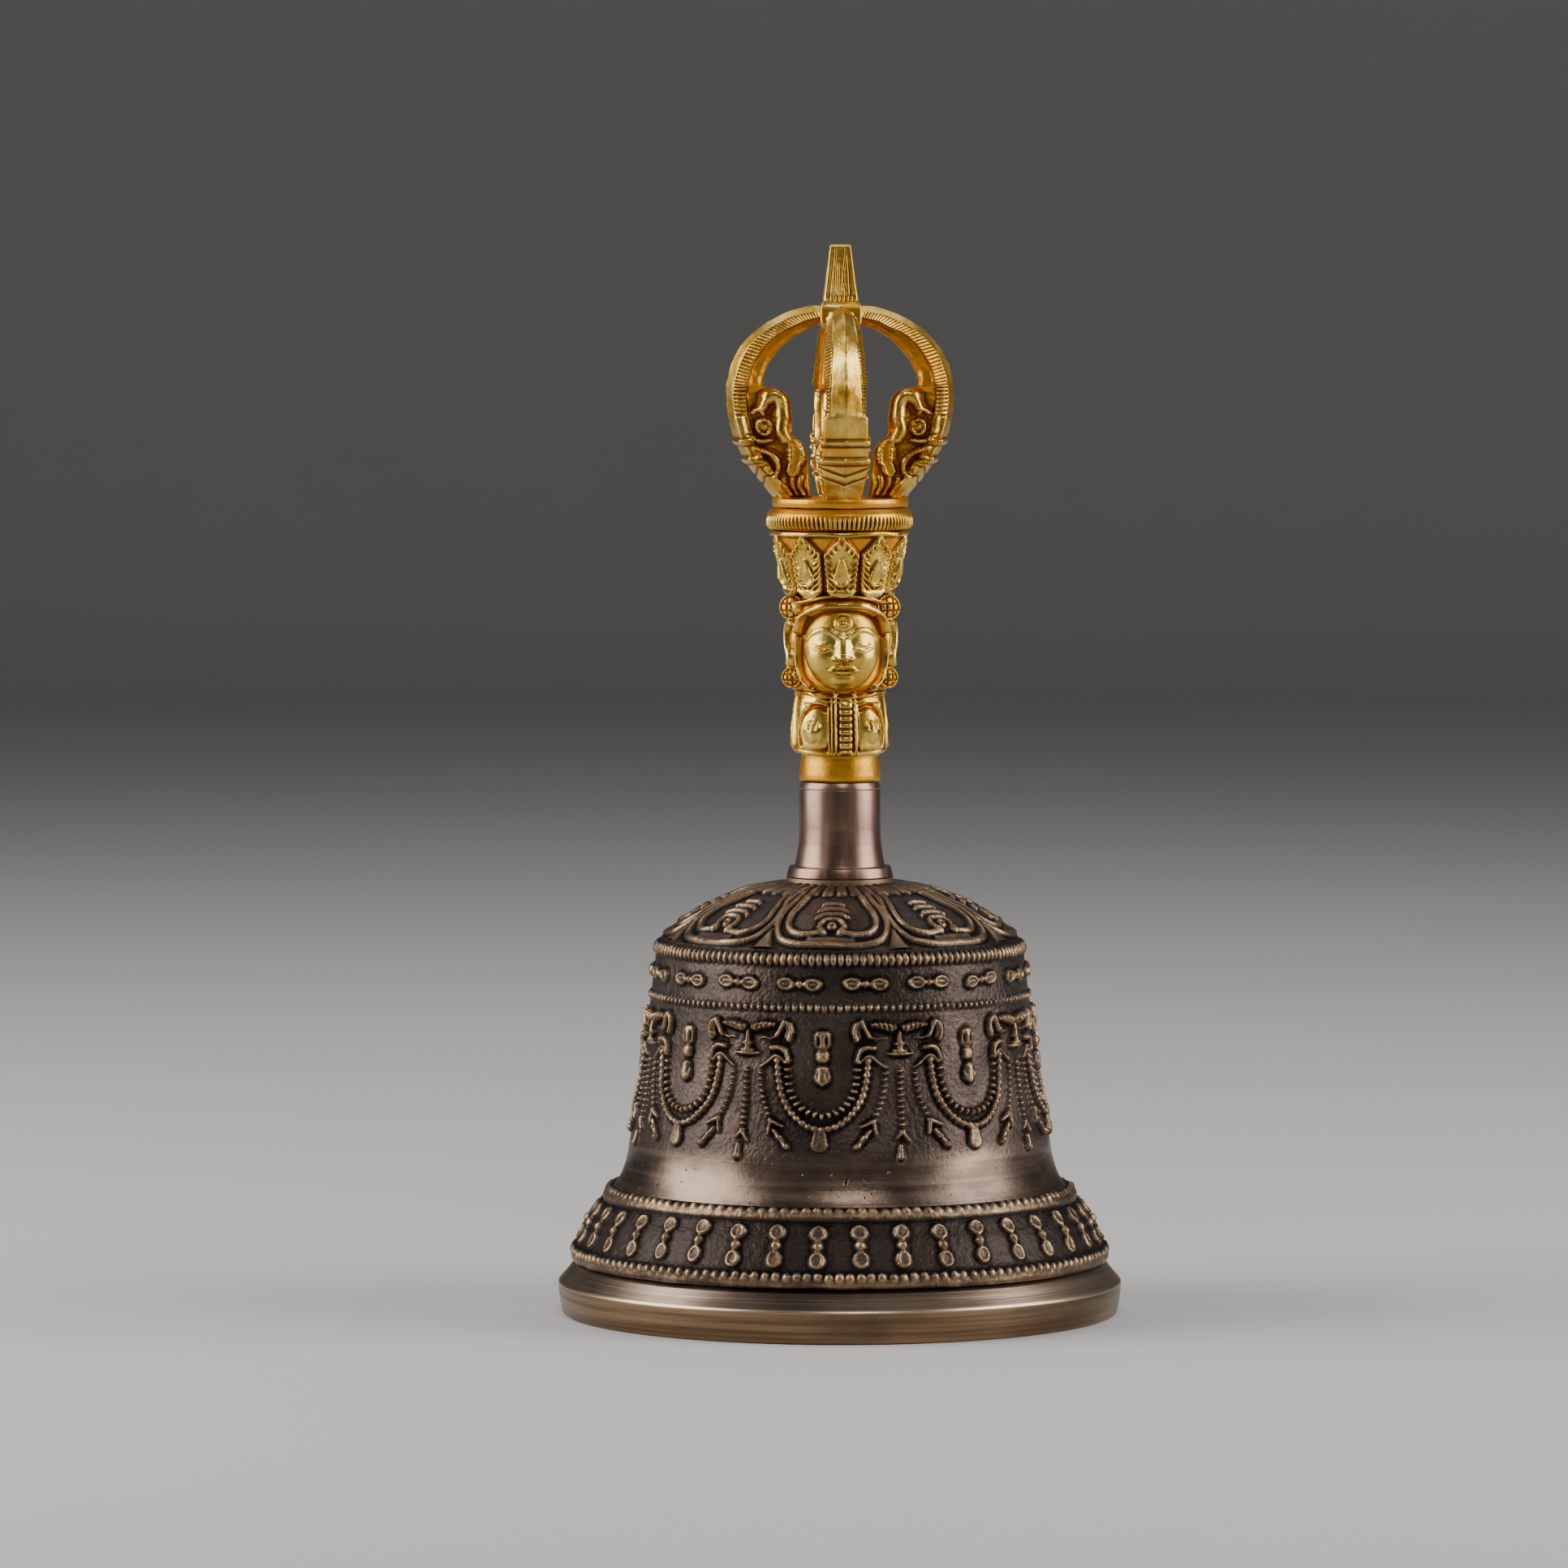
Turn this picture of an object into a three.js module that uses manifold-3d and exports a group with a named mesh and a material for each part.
// Tibetan hand bell (drilbu) with a five-pronged vajra handle.
//
// Millimetres, +Z up. The origin is the centre of the rim's bottom face, where the bell stands.
// The front of the handle, the side with the deity's face, looks along -Y.
//
// From the bottom up: a cast bell with a free-hanging clapper, a turned sleeve on the bell's boss,
// a hollow gilded handle casting, and a vajra of four curved prongs round a straight centre prong.
// One long eye bolt holds it together: it runs from the clapper's eye inside the bell, through the
// crown, the sleeve and the handle's pitch filling, and is drawn tight by a nut under the crown.

import * as THREE from 'three';
import { mergeVertices } from 'three/addons/utils/BufferGeometryUtils.js';
import Module from 'manifold-3d';

const wasm = await Module();
wasm.setup();

// ---- Driving dimensions ----------------------------------------------------------------------

const TOTAL_HEIGHT = 174;
const GAP = 0.3;                 // clearance between pieces that bear on each other

// Bell
const LIP_RADIUS = 46;
const LIP_EDGE_HEIGHT = 5.2;     // height of the sharp edge of the lip
const RIM_INNER_RADIUS = 42;
const RIM_OUTER_RADIUS = 45.2;
const SHOULDER_RADIUS = 30;
const SHOULDER_HEIGHT = 60.6;
const CROWN_HEIGHT = 70.35;      // top of the dome, where the boss begins
const CROWN_CEILING = 66.5;      // flat ceiling inside, where the washer bears
const CROWN_HOLE_RADIUS = 2.9;
const BOSS_RADIUS = 8.7;
const BOSS_TOP = 71.1;

// Sleeve between the bell and the handle
const SLEEVE_FLANGE_RADIUS = 8.4;
const SLEEVE_FLANGE_TOP = 72.9;
const SLEEVE_TOP = 86.7;
const SLEEVE_BORE_RADIUS = 3.2;

// Handle casting
const HANDLE_BOTTOM = SLEEVE_TOP + GAP;
const HANDLE_TOP = 131.3;
const HANDLE_MOUTH_RADIUS = 4.6;
const HANDLE_CAVITY_RADIUS = 6;
const HANDLE_CAVITY_BOTTOM = 92;
const HANDLE_CAVITY_TOP = 117.5;

// Vajra
const VAJRA_TURN = THREE.MathUtils.degToRad(3.3);   // the cage is set slightly round from the face
const SEAT_RADIUS = 11.2;
const SEAT_TOP = 132.9;
const PRONG_FOOT = SEAT_TOP + GAP;
const HUB_BOTTOM = 160.4;
const HUB_TOP = 164.2;
const HUB_HALF_WIDTH = 3.4;
const TIP_HALF_WIDTH = 1.65;

// Eye bolt, washer and nut
const BOLT_RADIUS = 2.5;
const BOLT_TOP = 114;
const WASHER_RADIUS = 7.5;
const WASHER_THICKNESS = 1.4;
const NUT_ACROSS_FLATS = 9;
const NUT_THICKNESS = 4;
const EYE_RADIUS = 2.6;          // centre line of the eye's wire
const EYE_WIRE = 0.95;
const EYE_HEIGHT = 56.2;

// Link ring and clapper
const LINK_RADIUS = 3.2;
const LINK_WIRE = 0.8;
const CLAPPER_EYE_RADIUS = 2.4;
const CLAPPER_EYE_WIRE = 0.9;
const CLAPPER_ROD_RADIUS = 1.45;
const STRIKER_RADIUS = 7;
const STRIKER_HEIGHT = 12.4;     // height of the striker's widest ring

// ---- Helpers -----------------------------------------------------------------------------------

function welded(geometry) {
  const bare = geometry.index ? geometry.toNonIndexed() : geometry.clone();
  bare.deleteAttribute('normal');
  bare.deleteAttribute('uv');
  return mergeVertices(bare, 1e-4);
}

function toSolid(geometry) {
  const closed = welded(geometry);
  const vertProperties = new Float32Array(closed.attributes.position.array);
  const triVerts = new Uint32Array(closed.index.array);
  return new wasm.Manifold(new wasm.Mesh({ numProp: 3, vertProperties, triVerts }));
}

function toGeometry(solid) {
  const mesh = solid.getMesh();
  const geometry = new THREE.BufferGeometry();
  geometry.setAttribute('position', new THREE.BufferAttribute(new Float32Array(mesh.vertProperties), 3));
  geometry.setIndex(new THREE.BufferAttribute(new Uint32Array(mesh.triVerts), 1));
  return geometry;
}

// Turns a profile of (radius, height) points about the Z axis. The profile runs anticlockwise
// as seen with the radius to the right: up the outside, down the inside.
function turned(profile, segments) {
  const points = profile.map(([radius, height]) => new THREE.Vector2(radius, height));
  return new THREE.LatheGeometry(points, segments).rotateX(Math.PI / 2);
}

// A smooth curve through the given (radius, height) points, as `steps` + 1 points.
function smooth(points, steps) {
  const curve = new THREE.SplineCurve(points.map(([x, y]) => new THREE.Vector2(x, y)));
  return curve.getPoints(steps).map((point) => [point.x, point.y]);
}

function cylinderBetween(radius, bottom, top, segments) {
  const geometry = new THREE.CylinderGeometry(radius, radius, top - bottom, segments);
  return geometry.rotateX(Math.PI / 2).translate(0, 0, (bottom + top) / 2);
}

// A wire ring in the XZ plane, so that its hole looks along Y.
function ringInXZ(radius, wire, height) {
  return new THREE.TorusGeometry(radius, wire, 10, 28).rotateX(Math.PI / 2).translate(0, 0, height);
}

// Extrudes an outline of (x, z) points by `depth` along Y, centred on y = 0.
function extrudedAlongY(outline, depth) {
  const shape = new THREE.Shape(outline.map(([x, z]) => new THREE.Vector2(x, z)));
  const geometry = new THREE.ExtrudeGeometry(shape, { depth, bevelEnabled: false });
  return geometry.rotateX(Math.PI / 2).translate(0, depth / 2, 0);
}

const gilt = () => new THREE.MeshStandardMaterial({ color: 0xd9a63c, roughness: 0.32, metalness: 1 });
const bronze = () => new THREE.MeshStandardMaterial({ color: 0x4a3a2e, roughness: 0.45, metalness: 1 });
const copper = () => new THREE.MeshStandardMaterial({ color: 0x8a6047, roughness: 0.35, metalness: 1 });
const iron = () => new THREE.MeshStandardMaterial({ color: 0x4b4a48, roughness: 0.6, metalness: 1 });
const pitch = () => new THREE.MeshStandardMaterial({ color: 0x1d1713, roughness: 0.7, metalness: 0 });

function piece(name, geometry, material) {
  const mesh = new THREE.Mesh(geometry, material);
  mesh.name = name;
  return mesh;
}

// ---- Bell --------------------------------------------------------------------------------------

function bellShell() {
  const lip = [
    [RIM_INNER_RADIUS, 0],
    [RIM_OUTER_RADIUS, 0],
    [45.7, 2.8],
    [LIP_RADIUS, LIP_EDGE_HEIGHT],
    [44.8, 6.6],
    [43.4, 8.6],
  ];
  const wall = smooth([[43.4, 8.6], [41.9, 13.2], [38.5, 18.6], [35.6, 23], [34, 28.8], [32.4, 37],
    [31.2, 47], [30.3, 54.5], [SHOULDER_RADIUS, SHOULDER_HEIGHT]], 18);
  const dome = smooth([[28.4, 61.8], [24.7, 65.1], [16, 69.2], [BOSS_RADIUS, CROWN_HEIGHT]], 7);
  const boss = [
    [BOSS_RADIUS, BOSS_TOP],
    [CROWN_HOLE_RADIUS, BOSS_TOP],
    [CROWN_HOLE_RADIUS, CROWN_CEILING],
  ];
  const inside = smooth([[9, CROWN_CEILING], [15.5, 65.2], [21, 62.8], [25.2, 59.2], [27.2, 53.5],
    [28.3, 45], [29.3, 36], [31.2, 28.2], [33.8, 20.5], [37.6, 12], [40.4, 4.6],
    [RIM_INNER_RADIUS, 0]], 16);
  return turned([...lip, ...wall.slice(1), ...dome, ...boss, ...inside], 56);
}

// ---- Sleeve ------------------------------------------------------------------------------------

function neckSleeve() {
  const foot = BOSS_TOP + GAP;
  return turned([
    [SLEEVE_BORE_RADIUS, foot],
    [SLEEVE_FLANGE_RADIUS, foot],
    [8.24, SLEEVE_FLANGE_TOP],
    [7.34, SLEEVE_FLANGE_TOP],
    [7.04, 74.5],
    [6.74, 76.5],
    [6.6, 79],
    [6.6, 85.6],
    [6.25, SLEEVE_TOP],
    [SLEEVE_BORE_RADIUS, SLEEVE_TOP],
    [SLEEVE_BORE_RADIUS, foot],
  ], 32);
}

// ---- Handle ------------------------------------------------------------------------------------

function handleGrip() {
  const cavity = [
    [0, HANDLE_CAVITY_TOP],
    [HANDLE_CAVITY_RADIUS, HANDLE_CAVITY_TOP],
    [HANDLE_CAVITY_RADIUS, HANDLE_CAVITY_BOTTOM + 1.6],
    [HANDLE_MOUTH_RADIUS, HANDLE_CAVITY_BOTTOM],
    [HANDLE_MOUTH_RADIUS, HANDLE_BOTTOM],
  ];
  const collar = [[6.3, HANDLE_BOTTOM], [6.64, 87.9], [6.5, 89.2], [6.3, 90.2], [6.5, 91.3]];
  const bust = [[7.7, 92.1], [8.3, 93.4], [8.2, 95.5], [7.8, 98.7], [7.7, 100.8]];
  const head = [[8.45, 101.9], [9.2, 102.9], [9.5, 108.2], [9.8, 114.5], [9.4, 116.7], [8.45, 118.2]];
  const crown = [[9, 119.3], [9.6, 120.9], [10.2, 123], [11.6, 127.2], [12, 128.2], [12, 129.6]];
  const top = [[SEAT_RADIUS, HANDLE_TOP], [0, HANDLE_TOP]];
  return turned([...cavity, ...collar, ...bust, ...head, ...crown, ...top], 40);
}

// Pitch that beds the bolt in the hollow handle: a plug with a blind hole for the bolt.
function pitchFilling() {
  const bore = BOLT_RADIUS + GAP;
  const narrow = HANDLE_MOUTH_RADIUS - GAP;
  const wide = HANDLE_CAVITY_RADIUS - GAP;
  const bottom = HANDLE_BOTTOM + 0.6;
  return turned([
    [0, BOLT_TOP + GAP],
    [bore, BOLT_TOP + GAP],
    [bore, bottom],
    [narrow, bottom],
    [narrow, HANDLE_CAVITY_BOTTOM + GAP],
    [wide, HANDLE_CAVITY_BOTTOM + 1.9],
    [wide, HANDLE_CAVITY_TOP - GAP],
    [0, HANDLE_CAVITY_TOP - GAP],
  ], 24);
}

// ---- Vajra -------------------------------------------------------------------------------------

function vajraSeat() {
  const bottom = HANDLE_TOP + GAP;
  return turned([
    [0, bottom],
    [SEAT_RADIUS - 0.3, bottom],
    [SEAT_RADIUS, bottom + 0.6],
    [SEAT_RADIUS, SEAT_TOP],
    [0, SEAT_TOP],
  ], 40);
}

// One curved prong with the makara head that it springs from, seen from the side. The prong
// stands on the +X side of the axis: x is the distance from the axis.
function prongSide() {
  const start = HUB_HALF_WIDTH + GAP;
  const back = smooth([[start, 164], [7.6, 163.5], [12.6, 161], [16.4, 157], [18.5, 151.8],
    [18.5, 146.6], [16.6, 140.4], [13.8, 136], [11, PRONG_FOOT]], 18);
  const makara = smooth([[4.8, PRONG_FOOT], [4.9, 137], [5.6, 141.6], [7.8, 143.8], [8, 147],
    [9.4, 149.9], [12.2, 150.4]], 10);
  const underside = smooth([[12.7, 151.4], [11.2, 155], [8.6, 158.2], [start, 160.9]], 5);
  return [...back, ...makara, ...underside];
}

// The prong seen from outside, wide at the makara head and narrowing to the tip and the foot.
function prongFront() {
  const side = smooth([[3.1, PRONG_FOOT], [3.6, 138], [3.7, 143], [3.5, 150], [3.1, 157], [2.3, 164.2]], 8);
  const mirrored = side.map(([x, z]) => [-x, z]).reverse();
  return [...side, ...mirrored];
}

// The bevelled back of the prong: a roof with its ridge in the middle of the prong's width.
function prongRoof() {
  const ridge = 18.9;
  const eaves = 16.9;
  const halfWidth = 3.9;
  const shape = new THREE.Shape([
    new THREE.Vector2(0, -halfWidth),
    new THREE.Vector2(eaves, -halfWidth),
    new THREE.Vector2(ridge, 0),
    new THREE.Vector2(eaves, halfWidth),
    new THREE.Vector2(0, halfWidth),
  ]);
  const height = HUB_TOP - PRONG_FOOT;
  return new THREE.ExtrudeGeometry(shape, { depth: height, bevelEnabled: false }).translate(0, 0, PRONG_FOOT);
}

function prong() {
  const reach = 60;
  const side = toSolid(extrudedAlongY(prongSide(), reach));
  const front = toSolid(extrudedAlongY(prongFront(), reach).rotateZ(Math.PI / 2));
  const roof = toSolid(prongRoof());
  return toGeometry(side.intersect(front).intersect(roof));
}

// Straight square prong: a slender bar, a hub that the curved prongs meet, and a tapered tip.
function centreProng() {
  const corner = Math.SQRT2;
  const profile = [
    [0, PRONG_FOOT],
    [1.5 * corner, PRONG_FOOT],
    [2.1 * corner, 147],
    [1.7 * corner, HUB_BOTTOM],
    [HUB_HALF_WIDTH * corner, HUB_BOTTOM + 0.6],
    [HUB_HALF_WIDTH * corner, HUB_TOP - 0.4],
    [2.83 * corner, HUB_TOP + 0.8],
    [2.2 * corner, 169.5],
    [TIP_HALF_WIDTH * corner, TOTAL_HEIGHT],
    [0, TOTAL_HEIGHT],
  ];
  return turned(profile, 4).rotateZ(Math.PI / 4);
}

// ---- Fastening inside the bell -------------------------------------------------------------------

function eyeBolt() {
  const eye = toSolid(ringInXZ(EYE_RADIUS, EYE_WIRE, EYE_HEIGHT));
  const shank = toSolid(cylinderBetween(BOLT_RADIUS, EYE_HEIGHT + EYE_RADIUS, BOLT_TOP, 20));
  return toGeometry(eye.add(shank));
}

function crownWasher() {
  const top = CROWN_CEILING - GAP;
  const bottom = top - WASHER_THICKNESS;
  const hole = BOLT_RADIUS + GAP;
  return turned([[hole, bottom], [WASHER_RADIUS, bottom], [WASHER_RADIUS, top], [hole, top],
    [hole, bottom]], 28);
}

function crownNut() {
  const top = CROWN_CEILING - GAP - WASHER_THICKNESS - GAP;
  const corner = NUT_ACROSS_FLATS / 2 / Math.cos(Math.PI / 6);
  const body = toSolid(cylinderBetween(corner, top - NUT_THICKNESS, top, 6));
  const hole = toSolid(cylinderBetween(BOLT_RADIUS + GAP, top - NUT_THICKNESS - 1, top + 1, 20));
  return toGeometry(body.subtract(hole));
}

// ---- Clapper -------------------------------------------------------------------------------------

// The link hangs in the eye: its wire rests on the eye's lowest stretch of wire.
const eyeBottom = EYE_HEIGHT - EYE_RADIUS;
const linkCentre = eyeBottom + EYE_WIRE + LINK_WIRE + GAP - LINK_RADIUS;
const linkBottom = linkCentre - LINK_RADIUS;
const clapperEyeCentre = linkBottom + LINK_WIRE + CLAPPER_EYE_WIRE + GAP - CLAPPER_EYE_RADIUS;

function linkRing() {
  return ringInXZ(LINK_RADIUS, LINK_WIRE, linkCentre).rotateZ(Math.PI / 2);
}

function clapperRod() {
  const eye = toSolid(ringInXZ(CLAPPER_EYE_RADIUS, CLAPPER_EYE_WIRE, clapperEyeCentre));
  const top = clapperEyeCentre - CLAPPER_EYE_RADIUS;
  const bottom = STRIKER_HEIGHT - 2;
  const rod = toSolid(cylinderBetween(CLAPPER_ROD_RADIUS, bottom, top, 16));
  return toGeometry(eye.add(rod));
}

// A turned ball with a short neck. The rod enters a blind hole in its top.
function clapperStriker() {
  const hole = CLAPPER_ROD_RADIUS + GAP;
  const holeBottom = STRIKER_HEIGHT - 2 - GAP;
  const neckRadius = 2.9;
  const neckTop = STRIKER_HEIGHT + 9;
  const profile = [[0, holeBottom], [hole, holeBottom], [hole, neckTop], [neckRadius, neckTop]];
  const steps = 9;
  const from = Math.asin(0.9);
  for (let i = 0; i <= steps; i += 1) {
    const angle = THREE.MathUtils.lerp(from, -Math.PI / 2, i / steps);
    profile.push([STRIKER_RADIUS * Math.cos(angle), STRIKER_HEIGHT + STRIKER_RADIUS * Math.sin(angle)]);
  }
  return turned(profile.reverse().map(([radius, height]) => [Math.max(radius, 0), height]), 24);
}

// ---- Assembly ------------------------------------------------------------------------------------

const bell = new THREE.Group();

bell.add(piece('bell_shell', bellShell(), bronze()));
bell.add(piece('neck_sleeve', neckSleeve(), copper()));
bell.add(piece('handle_grip', handleGrip(), gilt()));
bell.add(piece('pitch_filling', pitchFilling(), pitch()));

const vajra = new THREE.Group();
vajra.rotation.z = VAJRA_TURN;
vajra.add(piece('vajra_seat', vajraSeat(), gilt()));
vajra.add(piece('centre_prong', centreProng(), gilt()));
['prong_right', 'prong_back', 'prong_left', 'prong_front'].forEach((name, index) => {
  const mesh = piece(name, prong(), gilt());
  mesh.rotation.z = index * Math.PI / 2;
  vajra.add(mesh);
});
bell.add(vajra);

bell.add(piece('eye_bolt', eyeBolt(), iron()));
bell.add(piece('crown_washer', crownWasher(), iron()));
bell.add(piece('crown_nut', crownNut(), iron()));
bell.add(piece('link_ring', linkRing(), iron()));
bell.add(piece('clapper_rod', clapperRod(), iron()));
bell.add(piece('clapper_striker', clapperStriker(), iron()));

export default bell;
